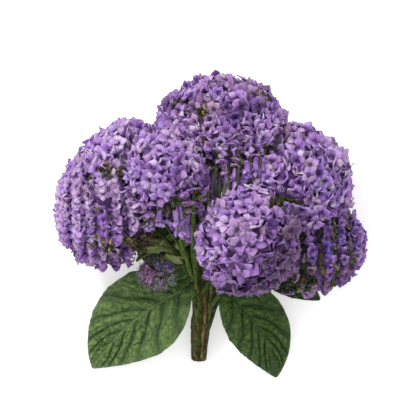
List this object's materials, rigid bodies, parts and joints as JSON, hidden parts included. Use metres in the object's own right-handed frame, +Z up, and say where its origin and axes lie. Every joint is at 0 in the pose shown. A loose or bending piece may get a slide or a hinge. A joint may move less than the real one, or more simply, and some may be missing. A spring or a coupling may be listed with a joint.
{
  "type": "cut heliotrope spray",
  "caption": "Cut spray of garden heliotrope lying on its side: a short stem that branches into domed heads of small violet florets, with quilted green leaves.",
  "frame": {"origin": "on the surface the spray lies on, under the middle of its footprint", "axes": "+Z up, away from that surface; +Y from the cut end of the stem towards the flowers; +X to the right as the spray is seen from above"},
  "size_m": [0.173, 0.1678, 0.0857],
  "materials": {
    "petals": "soft matte violet with paler petal edges",
    "buds": "matte dark violet, hairy",
    "leaf": "quilted green with a low sheen",
    "dark_leaf": "dark green with a low sheen",
    "stem": "matte, green and finely hairy above, olive brown and ribbed near the cut"
  },
  "bodies": {
    "root": {"stem": "stem", "florets_left": "petals", "florets_middle_left": "petals", "florets_top": "petals", "florets_right_upper": "petals", "florets_right_lower": "petals", "florets_centre": "petals", "florets_bud": "buds", "leaf_left": "leaf", "leaf_right": "leaf", "leaf_back_right": "dark_leaf", "leaf_back_left": "dark_leaf", "leaf_back_middle": "dark_leaf"}
  },
  "joints": []
}
